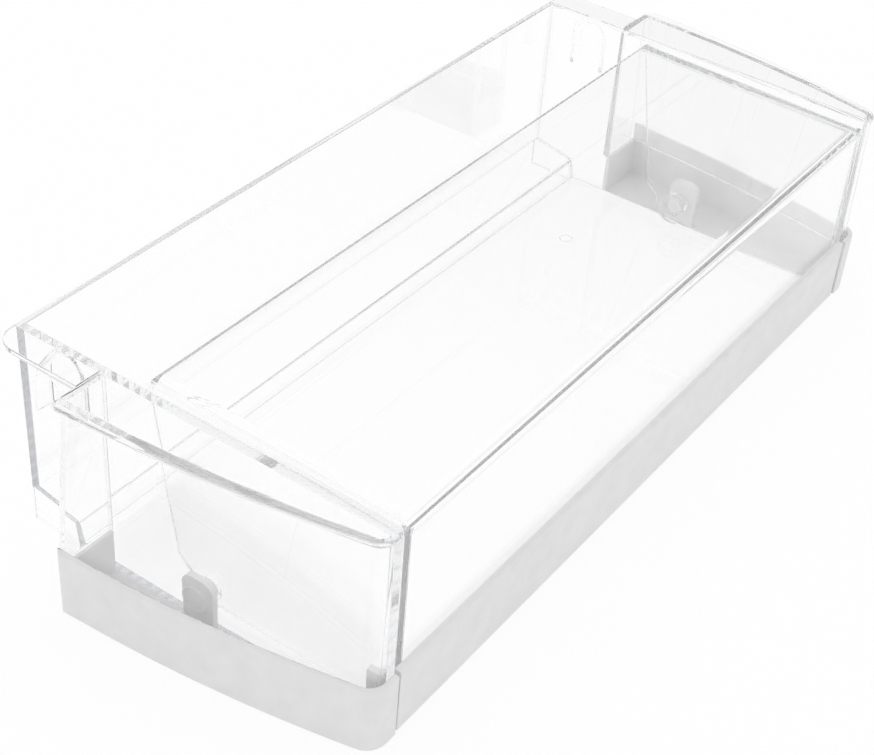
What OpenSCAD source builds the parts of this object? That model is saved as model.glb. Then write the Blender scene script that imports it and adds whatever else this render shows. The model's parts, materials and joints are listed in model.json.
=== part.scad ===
// Door shelf of a refrigerator: a clear tray with bowed shoulders, light grey side trims, and a clear
// hood with a grey front bar that swings up on two pins moulded on the side trims.
// X runs across the door, the back that meets the door is at +Y, and the shelf stands on Z = 0.

/* [Tray] */
// Depth from the back face to the front of the side trims
shelf_depth = 192.7; // [185:0.1:230]
// Half of the width over the tray's straight side walls
tray_half = 195; // [150:0.5:260]
// Height of the tray's rim
tray_height = 104; // [80:0.5:140]
// Thickness of the tray's walls
tray_wall = 3; // [2:0.1:4]
// Thickness of the tray's floor
floor_thickness = 4; // [2.5:0.1:6]
// Radius of the front top corner of the straight side walls
tray_corner = 2.5; // [1:0.5:12]

/* [Ledge along the back] */
// Distance from the back face to the ledge's front
ledge_depth = 27; // [15:0.5:38]
// Height of the ledge at the back wall
ledge_back_height = 19.3; // [16:0.1:26]
// Height of the ledge at its front edge
ledge_front_height = 14.9; // [11:0.1:15.5]
// Forward slope of the ledge's front face
ledge_foot = 1.4; // [0:0.1:4]
// Radius of the ledge's front edge
ledge_round = 3.5; // [1:0.1:5]

/* [Shoulders] */
// Distance from the back face to the back of the shoulders
step_depth = 45.5; // [40:0.5:60]
// Height of the shoulders' lower edge, inside the side trims
shoulder_foot = 24; // [21:0.5:27]
// How far the shoulder's top plate stands inside the trim
plate_inset = 5; // [4:0.1:8]
// Distance from the front of the trim to the front of the top plate
plate_front_inset = 2.7; // [2:0.1:6]
// Thickness of the top plate, which has a round edge
plate_thickness = 3; // [2:0.1:4]
// Radius of the top plate's front corner in plan
plate_corner = 8.5; // [5:0.5:12]
// How far the top of the shoulder's skin stands inside the trim at the front
skin_top_inset = 5.7; // [5:0.1:9]
// How much further in the skin's top stands at the rear
skin_top_lean = 3.2; // [0:0.1:6]
// Gap between the trim's front wall and the front of the shoulders and side walls
skin_front_gap = 1.2; // [0.5:0.1:3]
// Radius of the skin's rear corner in plan
skin_rear_corner = 3; // [1:0.1:4]

/* [Hangers at the ends] */
// How far the end flange stands out
flange_width = 13; // [8:0.5:20]
// Thickness of the end flange
flange_thickness = 2.5; // [1.5:0.1:4]
// Radius of the end flange's back corner
flange_corner = 11; // [3:0.5:12]
// Distance from the back face to the rear leg of the hanger loop
hanger_rear = 16.4; // [10:0.1:20]
// Width of the hanger loop where it leaves the wall
hanger_width = 21; // [14:0.5:24]
// Height of the hanger loop's legs and crown together
hanger_height = 28; // [20:0.5:40]
// How far the hanger loop stands out
hanger_reach = 8; // [5:0.5:12]
// Thickness of the hanger loop
hanger_wall = 2; // [1.5:0.1:3]

/* [Side trims] */
// How far the side trims bow out from the tray's straight side walls
shoulder_width = 32.5; // [28:0.5:50]
// Radius of the bow of the side trims in plan
bow_radius = 711; // [500:1:1200]
// Distance from the back face to where the bow is widest
bow_start = 22; // [0:1:60]
// Height of the side trims and the front bar
trim_height = 33; // [30:0.5:45]
// Thickness of the trims' walls
trim_wall = 2.5; // [1.5:0.1:3.5]
// Radius of the side trims' front corner in plan
trim_corner = 10; // [6:0.5:14]
// Radius of the side trims' rear corner in plan
trim_rear_corner = 3; // [1:0.1:4]
// How far the back of the side trims lies in front of the back of the shoulders
trim_setback = 1.5; // [0:0.1:2]
// Width of the tab that carries the pin
tab_width = 16.3; // [14:0.1:24]
// How far the middle of that tab lies in front of the pin
tab_shift = 1.5; // [0:0.1:2]
// Height of the tab that carries the pin
tab_height = 28; // [25:0.5:30.5]
// Thickness of the tabs
tab_thickness = 3; // [2:0.1:4]
// Radius of the tab's top corners
tab_corner = 5.5; // [2:0.5:6.5]
// Width of the small front tab
front_tab_width = 5; // [3:0.5:8]
// Height of the small front tab
front_tab_height = 35; // [34:0.5:42]

/* [Pivot] */
// Distance from the back face to the pivot
pivot_depth = 96; // [90:0.5:110]
// Height of the pivot
pivot_height = 16; // [15.5:0.5:20]
// Radius of the pivot pins
pin_radius = 4; // [3:0.1:4.5]
// Radial running clearance between a pin and the hood
pin_clearance = 0.05; // [0.02:0.01:0.1]
// Radial clearance where a pin passes through the tray's wall
pin_pass_clearance = 0.6; // [0.3:0.1:1.2]
// Gap between the end of a pin and the hood's wing
pin_end_gap = 0.6; // [0.3:0.1:1]
// Radius of the socket around the pin on the hood's wing
socket_radius = 6.2; // [5.8:0.1:8]
// Gap between the end of the socket and the tray's wall
socket_end_gap = 0.8; // [0.4:0.1:1]

/* [Hood] */
// Distance from the back face to the hood's rear edge
hood_rear = 64.5; // [60:0.5:75]
// Gap between the hood's wings and the tray's side walls
hood_side_gap = 4.8; // [3.5:0.1:8]
// Thickness of the hood's wings
wing_thickness = 2.6; // [2:0.1:3.5]
// Thickness of the hood's top sheet
top_thickness = 2.7; // [2:0.1:3.5]
// Thickness of the hood's front wall
front_thickness = 3.3; // [2.5:0.1:4]
// Drop of the hood's top from its rear edge to its front edge
top_drop = 3; // [0:0.1:6]
// Radius of the hollow corners inside the hood
hood_fillet = 5; // [2:0.5:8]
// Radius of the wing's round end at the pivot
eye_radius = 10; // [9:0.1:11]
// Height of the lower edge of the wings
wing_clearance = 7.5; // [6.5:0.1:10]
// Distance from the pivot back to the lower end of the wing's straight rear edge
wing_rear = 17; // [14:0.5:20]
// Gap between the wing and the floor when the hood is fully open
wing_floor_gap = 1.3; // [0.5:0.1:2.5]
// Angle over which the hood swings open
open_angle = 60; // [40:1:60]
// Gap between the hood's front wall and the floor's front edge
hood_floor_gap = 0.3; // [0.2:0.05:1]

/* [Front bar] */
// Thickness of the front bar
bar_thickness = 3.4; // [2.5:0.1:4]
// Thickness of the lip under the hood's front wall
bar_lip = 1.5; // [1:0.1:2.5]
// Gap between an end of the front bar and the tray's side wall
bar_end_gap = 0.6; // [0.4:0.1:1.5]
// Width of the open joint between the front bar and a side trim
bar_joint = 1.6; // [1.2:0.1:3]
// Radius of the front bar's upper front edge
bar_round = 1.2; // [0.5:0.1:2]
// How far the front bar's face lies behind the side trims' front
bar_setback = 0.7; // [0:0.1:2]

/* [Hidden] */
clear_color = [0.92, 0.95, 0.96, 0.45];
trim_color = [0.85, 0.86, 0.87];
// Play between the side trims and the tray's side walls, and where the tray seats in the trims
trim_play = 0.2;
seat_gap = 0.3;
// Depth by which cutting shapes pass the faces they cut
past = 1;
// Depth by which joined shapes reach into each other
join = 0.5;
// Thickness of the thin slabs that a hull joins
sliver = 0.01;
// Radius of the hollow corners inside the shoulders and trims
hollow_corner = 0.5;
// Sides of round bodies and of small round edges
round_sides = 96;
edge_sides = 32;
// Steps along the bow, along a corner in plan and over a quarter of the top plate's round edge
bow_steps = 14;
corner_steps = 6;
edge_steps = 3;
// Shares of its width and height that a hanger loop keeps at its outer end
hanger_width_taper = 0.7;
hanger_height_taper = 0.8;
// Height above the pivot at which the wing's round end runs out into its rear edge
wing_start_rise = 2;
// Radius of the small front tab's top corners
front_tab_corner = 1;

inner_half = tray_half - tray_wall;
trim_half = tray_half + shoulder_width;
trim_front = shelf_depth;
trim_back = step_depth + trim_setback;
trim_back_height = shoulder_foot - seat_gap;
plate_front = trim_front - plate_front_inset;
skin_front = trim_front - trim_wall - skin_front_gap;
skin_foot_inset = trim_wall + seat_gap;
skin_corner = trim_corner - skin_foot_inset;
wing_outer = inner_half - hood_side_gap;
wing_inner = wing_outer - wing_thickness;
// How far the lower end of the wing's rear edge dips for its distance from the pivot as the hood opens,
// and the height above the pivot at which it then still clears the floor
wing_end_dip = wing_rear * sin(open_angle);
wing_end_rise = (wing_end_dip - pivot_height + floor_thickness + wing_floor_gap) / cos(open_angle);
bar_front = trim_front - bar_setback;
hood_front = bar_front - bar_thickness;
floor_front = hood_front - front_thickness - hood_floor_gap;
hood_length = hood_front - hood_rear;
top_slope = atan(top_drop / hood_length);
hood_front_height = tray_height - top_drop;
bar_half = inner_half - bar_end_gap;
trim_joint_x = bar_half + bar_joint;
tab_inner = tray_half + trim_play;
tab_outer = tab_inner + tab_thickness;
front_tab_depth = skin_front - tray_wall - trim_play - front_tab_width / 2;
hanger_foot = tray_height - flange_thickness - hanger_height;
ledge_slope = atan((ledge_back_height - ledge_front_height) / (ledge_depth - tray_wall));
ledge_sheet = tray_wall / cos(ledge_slope);

// Moves what is drawn forward of Y = 0 to its place behind the middle of the shelf
module from_back() {
    translate([0, shelf_depth / 2, 0])
        children();
}

// Extrudes a side profile, drawn as distance along Y and height, from one X to another
module across(from_x, to_x) {
    translate([from_x, 0, 0])
        rotate([90, 0, 90])
            linear_extrude(height = to_x - from_x)
                children();
}

// Draws its children on both ends of the shelf
module both_sides() {
    children();
    mirror([1, 0, 0])
        children();
}

// Points of an arc around a centre
function arc(centre, radius, from_angle, to_angle, steps) = [
    for (i = [0:steps])
        let (angle = from_angle + (to_angle - from_angle) * i / steps)
        centre + radius * [cos(angle), sin(angle)]
];

// Plan of a bowed end between a back and a front line: inset moves the bow alone
function bow_centre() = [trim_half - bow_radius, -bow_start];
function bow_angle(y, radius) = asin((y - bow_centre()[1]) / radius);
function bow_inside(y, radius) = [bow_centre()[0] + radius * cos(bow_angle(y, radius)), y];
function bow_plan(inner_x, back_y, front_y, inset, rear_corner, front_corner) =
    let (radius = bow_radius - inset)
    let (rear = bow_inside(back_y - rear_corner, radius - rear_corner))
    let (front = bow_inside(front_y + front_corner, radius - front_corner))
    let (rear_angle = bow_angle(rear[1], radius - rear_corner))
    let (front_angle = bow_angle(front[1], radius - front_corner))
    concat(
        [[inner_x, back_y]],
        arc(rear, rear_corner, 90, rear_angle, corner_steps),
        arc(bow_centre(), radius, rear_angle, front_angle, bow_steps),
        arc(front, front_corner, front_angle, -90, corner_steps),
        [[inner_x, front_y]]
    );

// Moves the outer points of a plan inwards, by nothing at the front and by the whole lean at the rear
function leaned(points, lean) = [
    for (point = points)
        let (share = (point[1] + trim_front) / (trim_front - step_depth))
        point[0] > tray_half ? point - [lean * share, 0] : point
];

// Leaning block of a shoulder, or of its hollow, which is smaller by shrink all round
module shoulder_block(inner_x, shrink, foot_z) {
    back_y = -step_depth - shrink;
    front_y = -skin_front + shrink;
    rear_corner = max(skin_rear_corner - shrink, hollow_corner);
    front_corner = max(skin_corner - shrink, hollow_corner);
    hull() {
        translate([0, 0, foot_z])
            linear_extrude(height = trim_height - foot_z)
                polygon(bow_plan(inner_x, back_y, front_y, skin_foot_inset + shrink, rear_corner,
                    front_corner));
        translate([0, 0, tray_height - plate_thickness])
            linear_extrude(height = sliver)
                polygon(leaned(bow_plan(inner_x, back_y, front_y, skin_top_inset + shrink, rear_corner,
                    front_corner), skin_top_lean));
    }
}

// Top plate of a shoulder, with a full round edge
module shoulder_plate() {
    edge = plate_thickness / 2;
    hull()
        for (i = [-edge_steps:edge_steps]) {
            lift = 90 * i / edge_steps;
            shrink = edge * (1 - cos(lift));
            translate([0, 0, tray_height - edge + (edge - sliver / 2) * sin(lift) - sliver / 2])
                linear_extrude(height = sliver)
                    polygon(bow_plan(tray_half - join, -step_depth - shrink, -plate_front + shrink,
                        plate_inset + shrink, skin_rear_corner, plate_corner - shrink));
        }
}

// Hollow shoulder outside a straight side wall, open below, where the side trim closes it
module shoulder() {
    difference() {
        shoulder_block(tray_half - join, 0, shoulder_foot);
        shoulder_block(tray_half, tray_wall, shoulder_foot - past);
    }
    shoulder_plate();
}

// Side view of a straight side wall with its rounded front top corner
module side_wall_profile() {
    translate([-skin_front, 0])
        square([skin_front, tray_height - tray_corner]);
    translate([-skin_front + tray_corner, 0])
        square([skin_front - tray_corner, tray_height]);
    translate([-skin_front + tray_corner, tray_height - tray_corner])
        circle(r = tray_corner, $fn = round_sides);
}

// Height of the ledge's upper side at a distance along Y
function ledge_top(y) = ledge_front_height + (ledge_depth + y) * tan(ledge_slope);

// Side view of the ledge, an even sheet that runs from the foot of the back wall down to the floor
module ledge_profile() {
    turn_y = -ledge_depth + ledge_round;
    turn = [turn_y, ledge_top(turn_y) - ledge_round / cos(ledge_slope)];
    foot_y = -ledge_depth - ledge_foot;
    inner_turn = ledge_round > tray_wall
        ? arc(turn, ledge_round - tray_wall, 180, 90 + ledge_slope, corner_steps)
        : [[-ledge_depth + tray_wall, ledge_top(-ledge_depth + tray_wall) - ledge_sheet]];
    polygon(concat(
        [[0, ledge_top(0)]],
        arc(turn, ledge_round, 90 + ledge_slope, 180, corner_steps),
        [
            [foot_y, floor_thickness],
            [foot_y, 0],
            [foot_y + tray_wall, 0]
        ],
        inner_turn,
        [[0, ledge_top(0) - ledge_sheet]]
    ));
}

// Flange at the top of an end wall, behind the shoulder
module end_flange() {
    reach = tray_half + flange_width;
    corner = [reach - flange_corner, -flange_corner];
    translate([0, 0, tray_height - flange_thickness])
        linear_extrude(height = flange_thickness) {
            difference() {
                translate([tray_half - join, -step_depth - join])
                    square([flange_width + join, step_depth + join]);
                translate(corner)
                    square(flange_corner + past);
            }
            intersection() {
                translate(corner)
                    circle(r = flange_corner, $fn = round_sides);
                translate(corner)
                    square(flange_corner);
            }
        }
}

// Outline of a hanger loop, with straight legs and a round crown, forward of its rear leg
module hanger_outline(width, height) {
    translate([-width / 2, 0])
        square([width, height - width / 2]);
    translate([0, height - width / 2])
        circle(d = width, $fn = edge_sides);
}

// Inverted loop that slips down over a boss on the door, and narrows outwards from its front and top
module hanger() {
    full_height = hanger_height + flange_thickness / 2;
    translate([tray_half - join, -hanger_rear, hanger_foot])
        rotate([90, 0, 90])
            linear_extrude(height = hanger_reach + join, scale = [hanger_width_taper, hanger_height_taper])
                translate([-hanger_width / 2, 0])
                    difference() {
                        hanger_outline(hanger_width, full_height);
                        translate([0, -past])
                            hanger_outline(hanger_width - 2 * hanger_wall, full_height - hanger_wall + past);
                    }
}

// Side wall and shoulder of one end, with the hole that the pin passes through
module tray_end() {
    difference() {
        union() {
            across(inner_half, tray_half)
                side_wall_profile();
            shoulder();
        }
        translate([inner_half - past, -pivot_depth, pivot_height])
            rotate([0, 90, 0])
                cylinder(r = pin_radius + pin_pass_clearance, h = tray_wall + 2 * past, $fn = round_sides);
    }
    end_flange();
    hanger();
}

module tray() {
    wall_foot = ledge_top(0) - ledge_sheet;
    color(clear_color)
        from_back() {
            translate([-tray_half, -tray_wall, wall_foot])
                cube([2 * tray_half, tray_wall, tray_height - wall_foot]);
            translate([-tray_half, -floor_front, 0])
                cube([2 * tray_half, floor_front - ledge_depth, floor_thickness]);
            across(-tray_half, tray_half)
                ledge_profile();
            both_sides()
                tray_end();
        }
}

// Outer side view of the hood, without the round ends at the pivot
module hood_profile() {
    polygon([
        [-hood_rear, tray_height],
        [-hood_front, hood_front_height],
        [-hood_front, bar_lip],
        [-hood_front + front_thickness, bar_lip],
        [-hood_front + front_thickness, wing_clearance],
        [-pivot_depth, wing_clearance],
        [-pivot_depth, pivot_height],
        [-pivot_depth + eye_radius, pivot_height + wing_start_rise],
        [-pivot_depth + wing_rear, pivot_height + max(wing_end_rise, wing_start_rise)]
    ]);
}

// Space under the hood's top sheet and behind its front wall, with hollow corners
module hood_hollow() {
    intersection() {
        translate([0, -hood_front, hood_front_height])
            rotate([top_slope, 0, 0])
                translate([0, hood_length + 2 * past, -top_thickness / cos(top_slope)])
                    rotate([90, 0, 0])
                        linear_extrude(height = hood_length + 4 * past) {
                            translate([-wing_inner, -2 * tray_height])
                                square([2 * wing_inner, 2 * tray_height - hood_fillet]);
                            translate([-wing_inner + hood_fillet, -2 * hood_fillet])
                                square([2 * (wing_inner - hood_fillet), 2 * hood_fillet]);
                            for (side = [-1, 1])
                                translate([side * (wing_inner - hood_fillet), -hood_fillet])
                                    circle(r = hood_fillet, $fn = edge_sides);
                        }
        across(-wing_inner, wing_inner)
            hood_hollow_profile();
    }
}

module hood_hollow_profile() {
    front_inner = -hood_front + front_thickness;
    corner_z = hood_front_height - top_thickness + (front_thickness + hood_fillet) * tan(top_slope)
        - hood_fillet;
    translate([front_inner, -past])
        square([hood_front, corner_z + past]);
    translate([front_inner + hood_fillet, -past])
        square([hood_front, 2 * tray_height]);
    translate([front_inner + hood_fillet, corner_z])
        circle(r = hood_fillet, $fn = edge_sides);
}

module hood() {
    color(clear_color)
        from_back()
            difference() {
                union() {
                    difference() {
                        across(-wing_outer, wing_outer)
                            hood_profile();
                        hood_hollow();
                    }
                    both_sides()
                        wing_end();
                }
                both_sides()
                    translate([wing_outer, -pivot_depth, pivot_height])
                        rotate([0, 90, 0])
                            cylinder(r = pin_radius + pin_clearance, h = hood_side_gap, $fn = round_sides);
            }
}

// Round end of a wing and the blind socket on its outside that a pin turns in
module wing_end() {
    translate([wing_inner, -pivot_depth, pivot_height])
        rotate([0, 90, 0]) {
            cylinder(r = eye_radius, h = wing_thickness, $fn = round_sides);
            cylinder(r = socket_radius, h = wing_thickness + hood_side_gap - socket_end_gap,
                $fn = round_sides);
        }
}

// Side view of the front bar with the lip that carries the hood's front wall
module bar_profile() {
    translate([-bar_front, 0])
        square([bar_thickness, trim_height - bar_round]);
    translate([-bar_front + bar_round, 0])
        square([bar_thickness - bar_round, trim_height]);
    translate([-bar_front + bar_round, trim_height - bar_round])
        circle(r = bar_round, $fn = edge_sides);
    translate([-hood_front - join, 0])
        square([front_thickness + join, bar_lip]);
}

module front_bar() {
    color(trim_color)
        from_back()
            across(-bar_half, bar_half)
                bar_profile();
}

// Plan of a side trim, or with an inset of its hollow, which starts at its own back line
module trim_plan(inner_x, back_y, inset) {
    rear_corner = max(trim_rear_corner - inset, hollow_corner);
    polygon(bow_plan(inner_x, back_y, -trim_front + inset, inset, rear_corner, trim_corner - inset));
}

// Channel of a side trim: floor, outer and front walls around the shoulder's foot, and a lower back wall
module trim_channel() {
    difference() {
        linear_extrude(height = trim_height)
            trim_plan(tab_inner, -trim_back, 0);
        translate([0, 0, trim_wall])
            linear_extrude(height = trim_height)
                trim_plan(0, -trim_back - trim_wall, trim_wall);
        translate([0, 0, trim_back_height])
            linear_extrude(height = trim_height)
                trim_plan(0, -trim_back + past, trim_wall);
    }
}

// End of the side trim's front, beside the joint with the front bar
module front_return() {
    translate([trim_joint_x, -trim_front, 0])
        cube([tab_outer - trim_joint_x, trim_wall, trim_height]);
}

// Tab that stands on the inner edge of a side trim
module tab(centre_depth, width, height, corner) {
    across(tab_inner, tab_outer)
        translate([-centre_depth, 0]) {
            translate([-width / 2, 0])
                square([width, height - corner]);
            translate([-width / 2 + corner, 0])
                square([width - 2 * corner, height]);
            for (side = [-1, 1])
                translate([side * (width / 2 - corner), height - corner])
                    circle(r = corner, $fn = edge_sides);
        }
}

module side_trim() {
    pin_end = wing_outer + pin_end_gap;
    trim_channel();
    front_return();
    tab(pivot_depth + tab_shift, tab_width, tab_height, tab_corner);
    tab(front_tab_depth, front_tab_width, front_tab_height, front_tab_corner);
    translate([pin_end, -pivot_depth, pivot_height])
        rotate([0, 90, 0])
            cylinder(r = pin_radius, h = tab_outer - pin_end, $fn = round_sides);
}

module right_side_trim() {
    color(trim_color)
        from_back()
            side_trim();
}

module left_side_trim() {
    color(trim_color)
        mirror([1, 0, 0])
            from_back()
                side_trim();
}

tray();
hood();
front_bar();
left_side_trim();
right_side_trim();
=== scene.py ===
"""A clear refrigerator door shelf with a swinging hood, on a plain pale floor."""
import json
import math

import bmesh
import bpy
from mathutils import Matrix, Vector
from mathutils.bvhtree import BVHTree


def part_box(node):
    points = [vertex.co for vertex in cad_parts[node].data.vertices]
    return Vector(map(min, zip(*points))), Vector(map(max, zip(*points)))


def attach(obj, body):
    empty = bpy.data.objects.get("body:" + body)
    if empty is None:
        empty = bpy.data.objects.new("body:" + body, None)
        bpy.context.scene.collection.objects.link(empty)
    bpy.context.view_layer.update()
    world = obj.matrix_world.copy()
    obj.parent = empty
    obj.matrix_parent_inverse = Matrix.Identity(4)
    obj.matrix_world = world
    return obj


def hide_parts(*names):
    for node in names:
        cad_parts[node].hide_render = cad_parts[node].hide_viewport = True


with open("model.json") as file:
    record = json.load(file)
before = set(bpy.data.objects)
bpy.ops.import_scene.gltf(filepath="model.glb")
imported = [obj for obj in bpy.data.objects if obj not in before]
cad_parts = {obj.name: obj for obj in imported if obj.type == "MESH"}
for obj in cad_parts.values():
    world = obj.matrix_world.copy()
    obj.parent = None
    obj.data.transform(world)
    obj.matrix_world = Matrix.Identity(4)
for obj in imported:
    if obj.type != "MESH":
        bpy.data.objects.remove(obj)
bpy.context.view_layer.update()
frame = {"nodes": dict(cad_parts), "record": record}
scene = bpy.context.scene

MM = 0.001

# Camera, fitted to the photograph's 874 x 755 frame
CAMERA_AZIMUTH = -57.04
CAMERA_ELEVATION = 37.94
CAMERA_ROLL = 4.73
CAMERA_DISTANCE = 850.55 * MM
CAMERA_TARGET = Vector((0, 23.48, -2.29)) * MM
SENSOR_WIDTH = 36.0
CAMERA_LENS = 71.92

# Levels of the surroundings: the light that falls on the greys, and the tone of the upper part,
# which the edges of the clear parts show by total reflection
LIGHT_LEVEL = 1.2
UPPER_TONE = 0.6
FLOOR_GLOW = 0.86

# Turned details, in millimetres: the ring on each pin tab, which is found from the middle of the
# trim's channel, and the gate mark on the hood's top
RING_RADIUS = 6.0
RING_EDGE = 0.6
CHANNEL_X = 212.0
GATE_PLACE = (4.5, -34.65)
GATE_RADIUS = 2.6
GATE_EDGE = 0.3
TURNED_SIDES = 64
TURNED_EDGE_SIDES = 8

# Mould radius on the sharp edges, and the angle above which an edge counts as sharp
EDGE_RADIUS = {"tray": 0.4, "hood": 0.4, "front_bar": 0.5, "left_side_trim": 0.6, "right_side_trim": 0.6}
SHARP_ANGLE = math.radians(38)
SHORTEST_EDGE = 1.5 * MM


def make_camera():
    azimuth = math.radians(CAMERA_AZIMUTH)
    elevation = math.radians(CAMERA_ELEVATION)
    back = Vector((
        math.sin(azimuth) * math.cos(elevation),
        -math.cos(azimuth) * math.cos(elevation),
        math.sin(elevation),
    ))
    right = (-back).cross(Vector((0, 0, 1))).normalized()
    up = right.cross(-back)
    roll = math.radians(CAMERA_ROLL)
    right, up = (
        math.cos(roll) * right + math.sin(roll) * up,
        -math.sin(roll) * right + math.cos(roll) * up,
    )
    data = bpy.data.cameras.new("camera")
    data.sensor_fit = "HORIZONTAL"
    data.sensor_width = SENSOR_WIDTH
    data.lens = CAMERA_LENS
    camera = bpy.data.objects.new("camera", data)
    scene.collection.objects.link(camera)
    turn = Matrix((right, up, back)).transposed().to_4x4()
    camera.matrix_world = Matrix.Translation(CAMERA_TARGET + CAMERA_DISTANCE * back) @ turn
    scene.camera = camera


def new_material(name):
    material = bpy.data.materials.new(name)
    material.use_nodes = True
    nodes = material.node_tree.nodes
    return material, nodes, material.node_tree.links, nodes["Principled BSDF"]


def noise(nodes, links, place, size, detail=2.0):
    """Noise whose grains are about as large as size, in metres"""
    texture = nodes.new("ShaderNodeTexNoise")
    texture.inputs["Scale"].default_value = 1 / size
    texture.inputs["Detail"].default_value = detail
    links.new(place.outputs["Object"], texture.inputs["Vector"])
    return texture.outputs["Fac"]


def to_range(nodes, links, value, low, high, from_low=0.3, from_high=0.7):
    ranged = nodes.new("ShaderNodeMapRange")
    ranged.inputs["From Min"].default_value = from_low
    ranged.inputs["From Max"].default_value = from_high
    ranged.inputs["To Min"].default_value = low
    ranged.inputs["To Max"].default_value = high
    links.new(value, ranged.inputs["Value"])
    return ranged.outputs["Result"]


def bumped(nodes, links, height, depth, strength, below=None):
    bump = nodes.new("ShaderNodeBump")
    bump.inputs["Distance"].default_value = depth
    bump.inputs["Strength"].default_value = strength
    links.new(height, bump.inputs["Height"])
    if below is not None:
        links.new(below, bump.inputs["Normal"])
    return bump.outputs["Normal"]


def clear_plastic():
    """Glossy clear moulding with a faint cool body, slight waves and a little handling haze"""
    material, nodes, links, shader = new_material("clear_plastic")
    shader.inputs["Base Color"].default_value = (1, 1, 1, 1)
    shader.inputs["IOR"].default_value = 1.5
    shader.inputs["Transmission Weight"].default_value = 1.0
    place = nodes.new("ShaderNodeTexCoord")
    haze = to_range(nodes, links, noise(nodes, links, place, 35 * MM, 5.0), 0.012, 0.035)
    links.new(haze, shader.inputs["Roughness"])
    waves = bumped(nodes, links, noise(nodes, links, place, 60 * MM, 1.0), 0.12 * MM, 0.6)
    links.new(waves, shader.inputs["Normal"])
    absorb = nodes.new("ShaderNodeVolumeAbsorption")
    absorb.inputs["Color"].default_value = (0.79, 0.80, 0.82, 1)
    absorb.inputs["Density"].default_value = 3.0
    links.new(absorb.outputs["Volume"], nodes["Material Output"].inputs["Volume"])
    # Light on its way to a matt surface passes straight through, so that the greys inside are lit
    path = nodes.new("ShaderNodeLightPath")
    gathered = combined(
        nodes, links, "MAXIMUM", path.outputs["Is Shadow Ray"], path.outputs["Is Diffuse Ray"]
    )
    through = nodes.new("ShaderNodeBsdfTransparent")
    mix = nodes.new("ShaderNodeMixShader")
    links.new(gathered, mix.inputs["Fac"])
    links.new(shader.outputs["BSDF"], mix.inputs[1])
    links.new(through.outputs["BSDF"], mix.inputs[2])
    links.new(mix.outputs["Shader"], nodes["Material Output"].inputs["Surface"])
    return material


def grey_plastic():
    """Light grey moulding with a fine spark-eroded grain and a faint mottle"""
    material, nodes, links, shader = new_material("grey_plastic")
    place = nodes.new("ShaderNodeTexCoord")
    tint = nodes.new("ShaderNodeMix")
    tint.data_type = "RGBA"
    tint.inputs["A"].default_value = (0.71, 0.705, 0.71, 1)
    tint.inputs["B"].default_value = (0.75, 0.745, 0.75, 1)
    mottle = to_range(nodes, links, noise(nodes, links, place, 9 * MM, 4.0), 0.0, 1.0)
    links.new(mottle, tint.inputs["Factor"])
    links.new(tint.outputs["Result"], shader.inputs["Base Color"])
    sheen = to_range(nodes, links, noise(nodes, links, place, 22 * MM, 3.0), 0.38, 0.5)
    links.new(sheen, shader.inputs["Roughness"])
    broad = bumped(nodes, links, noise(nodes, links, place, 25 * MM, 1.0), 0.1 * MM, 0.35)
    grain = bumped(nodes, links, noise(nodes, links, place, 0.5 * MM, 3.0), 0.03 * MM, 0.4, broad)
    links.new(grain, shader.inputs["Normal"])
    return material


def combined(nodes, links, operation, first, second):
    math_node = nodes.new("ShaderNodeMath")
    math_node.operation = operation
    for socket, value in zip(math_node.inputs, (first, second)):
        if isinstance(value, float):
            socket.default_value = value
        else:
            links.new(value, socket)
    return math_node.outputs["Value"]


def seen_ray(nodes, links):
    """1 for rays from the camera and for those that gloss or clear plastic passes on"""
    path = nodes.new("ShaderNodeLightPath")
    seen = path.outputs["Is Camera Ray"]
    for name in ("Is Glossy Ray", "Is Transmission Ray"):
        seen = combined(nodes, links, "MAXIMUM", seen, path.outputs[name])
    return seen


def sight_ray(nodes, links):
    """1 for seen rays that haven't met a matt surface yet, so that light falls on the greys inside the
    clear plastic as it does outside"""
    path = nodes.new("ShaderNodeLightPath")
    unscattered = combined(nodes, links, "LESS_THAN", path.outputs["Diffuse Depth"], 0.5)
    return combined(nodes, links, "MULTIPLY", seen_ray(nodes, links), unscattered)


def make_floor():
    bpy.ops.mesh.primitive_plane_add(size=8, location=(0, 0, -0.2 * MM))
    floor = bpy.context.object
    floor.name = "floor"
    material, nodes, links, shader = new_material("floor_white")
    shader.inputs["Base Color"].default_value = (0.97, 0.97, 0.97, 1)
    shader.inputs["Roughness"].default_value = 0.9
    shader.inputs["Specular IOR Level"].default_value = 0.0
    glow = nodes.new("ShaderNodeEmission")
    mix = nodes.new("ShaderNodeMixShader")
    links.new(combined(nodes, links, "MULTIPLY", seen_ray(nodes, links), FLOOR_GLOW), mix.inputs["Fac"])
    links.new(shader.outputs["BSDF"], mix.inputs[1])
    links.new(glow.outputs["Emission"], mix.inputs[2])
    links.new(mix.outputs["Shader"], nodes["Material Output"].inputs["Surface"])
    floor.data.materials.append(material)


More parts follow.
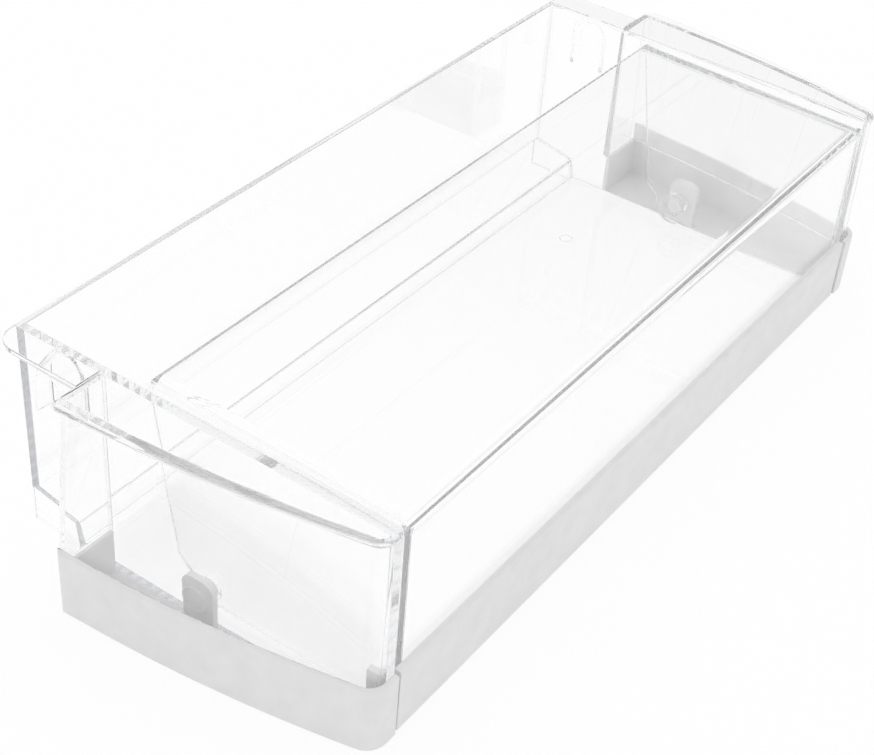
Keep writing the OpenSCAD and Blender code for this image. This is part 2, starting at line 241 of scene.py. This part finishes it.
def make_light():
    """Soft surroundings: light that is fullest near the horizon, and a greyer upper part to look at"""
    world = bpy.data.worlds.new("world")
    scene.world = world
    world.use_nodes = True
    nodes = world.node_tree.nodes
    links = world.node_tree.links
    place = nodes.new("ShaderNodeTexCoord")
    split = nodes.new("ShaderNodeSeparateXYZ")
    links.new(place.outputs["Generated"], split.inputs["Vector"])

    def graded(background, strength, *stops):
        ramp = nodes.new("ShaderNodeValToRGB")
        ramp.color_ramp.interpolation = "EASE"
        while len(ramp.color_ramp.elements) < len(stops):
            ramp.color_ramp.elements.new(1.0)
        for element, (height, tone) in zip(ramp.color_ramp.elements, stops):
            element.position = height
            element.color = (tone, tone, tone, 1)
        links.new(split.outputs["Z"], ramp.inputs["Fac"])
        links.new(ramp.outputs["Color"], background.inputs["Color"])
        background.inputs["Strength"].default_value = strength

    surroundings = nodes["Background"]
    graded(surroundings, LIGHT_LEVEL, (0.1, 1.0), (0.6, 0.8), (1.0, 0.8))
    seen = nodes.new("ShaderNodeBackground")
    graded(seen, 1.0, (0.06, 1.0), (0.34, UPPER_TONE), (0.7, 1.0))
    mix = nodes.new("ShaderNodeMixShader")
    links.new(sight_ray(nodes, links), mix.inputs["Fac"])
    links.new(surroundings.outputs["Background"], mix.inputs[1])
    links.new(seen.outputs["Background"], mix.inputs[2])
    links.new(mix.outputs["Shader"], nodes["World Output"].inputs["Surface"])


def body_of(node):
    for body, nodes in frame["record"]["behaviour"]["bodies"].items():
        if node in nodes:
            return body


def soft_edged(node, material):
    """A copy of a CAD node with its sharp edges rounded, which stands for the node"""
    mesh = frame["nodes"][node].data.copy()
    mesh.materials.clear()
    mesh.materials.append(material)
    made = bmesh.new()
    made.from_mesh(mesh)
    bmesh.ops.remove_doubles(made, verts=made.verts, dist=0.001 * MM)
    bmesh.ops.dissolve_limit(made, angle_limit=math.radians(0.3), verts=made.verts, edges=made.edges)
    weight = made.edges.layers.float.new("bevel_weight_edge")
    for face in made.faces:
        face.smooth = True
    for edge in made.edges:
        sharp = len(edge.link_faces) == 2 and edge.calc_face_angle(0) > SHARP_ANGLE
        edge.smooth = not sharp
        if sharp and edge.calc_length() > SHORTEST_EDGE:
            edge[weight] = 1.0
    made.to_mesh(mesh)
    made.free()
    piece = bpy.data.objects.new(node + "_rounded", mesh)
    scene.collection.objects.link(piece)
    bevel = piece.modifiers.new("edges", "BEVEL")
    bevel.limit_method = "WEIGHT"
    bevel.width = EDGE_RADIUS[node] * MM
    bevel.segments = 2
    bevel.use_clamp_overlap = False
    flat = piece.modifiers.new("flat_faces", "WEIGHTED_NORMAL")
    flat.mode = "FACE_AREA"
    flat.weight = 100
    flat.keep_sharp = True
    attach(piece, body_of(node))
    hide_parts(node)
    return piece


def surface_point(node, start, direction):
    """Where a line meets the surface of a node, and which way that surface faces"""
    mesh = frame["nodes"][node].data
    tree = BVHTree.FromPolygons(
        [vertex.co for vertex in mesh.vertices], [face.vertices for face in mesh.polygons]
    )
    place, normal, _, _ = tree.ray_cast(Vector(start), Vector(direction))
    return place, normal


def turned_ring(name, radius, edge, carrier, start, direction, material):
    """A low ring with a round section, half sunk into the face of the node that carries it"""
    centre, axis = surface_point(carrier, start, direction)
    made = bmesh.new()
    section = []
    for i in range(TURNED_EDGE_SIDES):
        angle = 2 * math.pi * i / TURNED_EDGE_SIDES
        section.append(made.verts.new((radius + edge * math.cos(angle), 0, edge * math.sin(angle))))
    rim = [made.edges.new(pair) for pair in zip(section, section[1:] + section[:1])]
    bmesh.ops.spin(
        made, geom=section + rim, cent=(0, 0, 0), axis=(0, 0, 1), angle=2 * math.pi,
        steps=TURNED_SIDES, use_merge=True,
    )
    bmesh.ops.remove_doubles(made, verts=made.verts, dist=0.001)
    bmesh.ops.recalc_face_normals(made, faces=made.faces)
    turn = Vector((0, 0, 1)).rotation_difference(axis).to_matrix().to_4x4()
    scale = Matrix.Diagonal((MM, MM, MM, 1))
    bmesh.ops.transform(made, matrix=Matrix.Translation(centre) @ turn @ scale, verts=made.verts)
    for face in made.faces:
        face.smooth = True
    mesh = bpy.data.meshes.new(name)
    made.to_mesh(mesh)
    made.free()
    mesh.materials.append(material)
    piece = bpy.data.objects.new(name, mesh)
    scene.collection.objects.link(piece)
    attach(piece, body_of(carrier))
    return piece


def pin_rings(material):
    """The ring on the outer face of each pin tab, around the hinge's axis"""
    hinge = frame["record"]["behaviour"]["joints"][0]["pos_m"]
    for side, node in ((-1, "left_side_trim"), (1, "right_side_trim")):
        start = (side * CHANNEL_X * MM, hinge[1], hinge[2])
        turned_ring(node + "_pin_ring", RING_RADIUS, RING_EDGE, node, start, (-side, 0, 0), material)


def gate_mark(material):
    """The mark that the mould's gate leaves on top of the hood"""
    start = (GATE_PLACE[0] * MM, GATE_PLACE[1] * MM, 2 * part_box("hood")[1][2])
    turned_ring("gate_mark", GATE_RADIUS, GATE_EDGE, "hood", start, (0, 0, -1), material)


make_camera()
make_floor()
make_light()
materials = {"clear_plastic": clear_plastic(), "grey_plastic": grey_plastic()}
for part in frame["record"]["subparts"]:
    soft_edged(part["node"], materials[part["material_slot"]])
pin_rings(materials["grey_plastic"])
gate_mark(materials["clear_plastic"])

scene.view_settings.view_transform = "Standard"
# A ray that runs along inside a clear wall is turned back at its faces many times over
scene.cycles.max_bounces = 160
scene.cycles.transmission_bounces = 160
scene.cycles.glossy_bounces = 160
scene.cycles.diffuse_bounces = 5
scene.cycles.transparent_max_bounces = 64
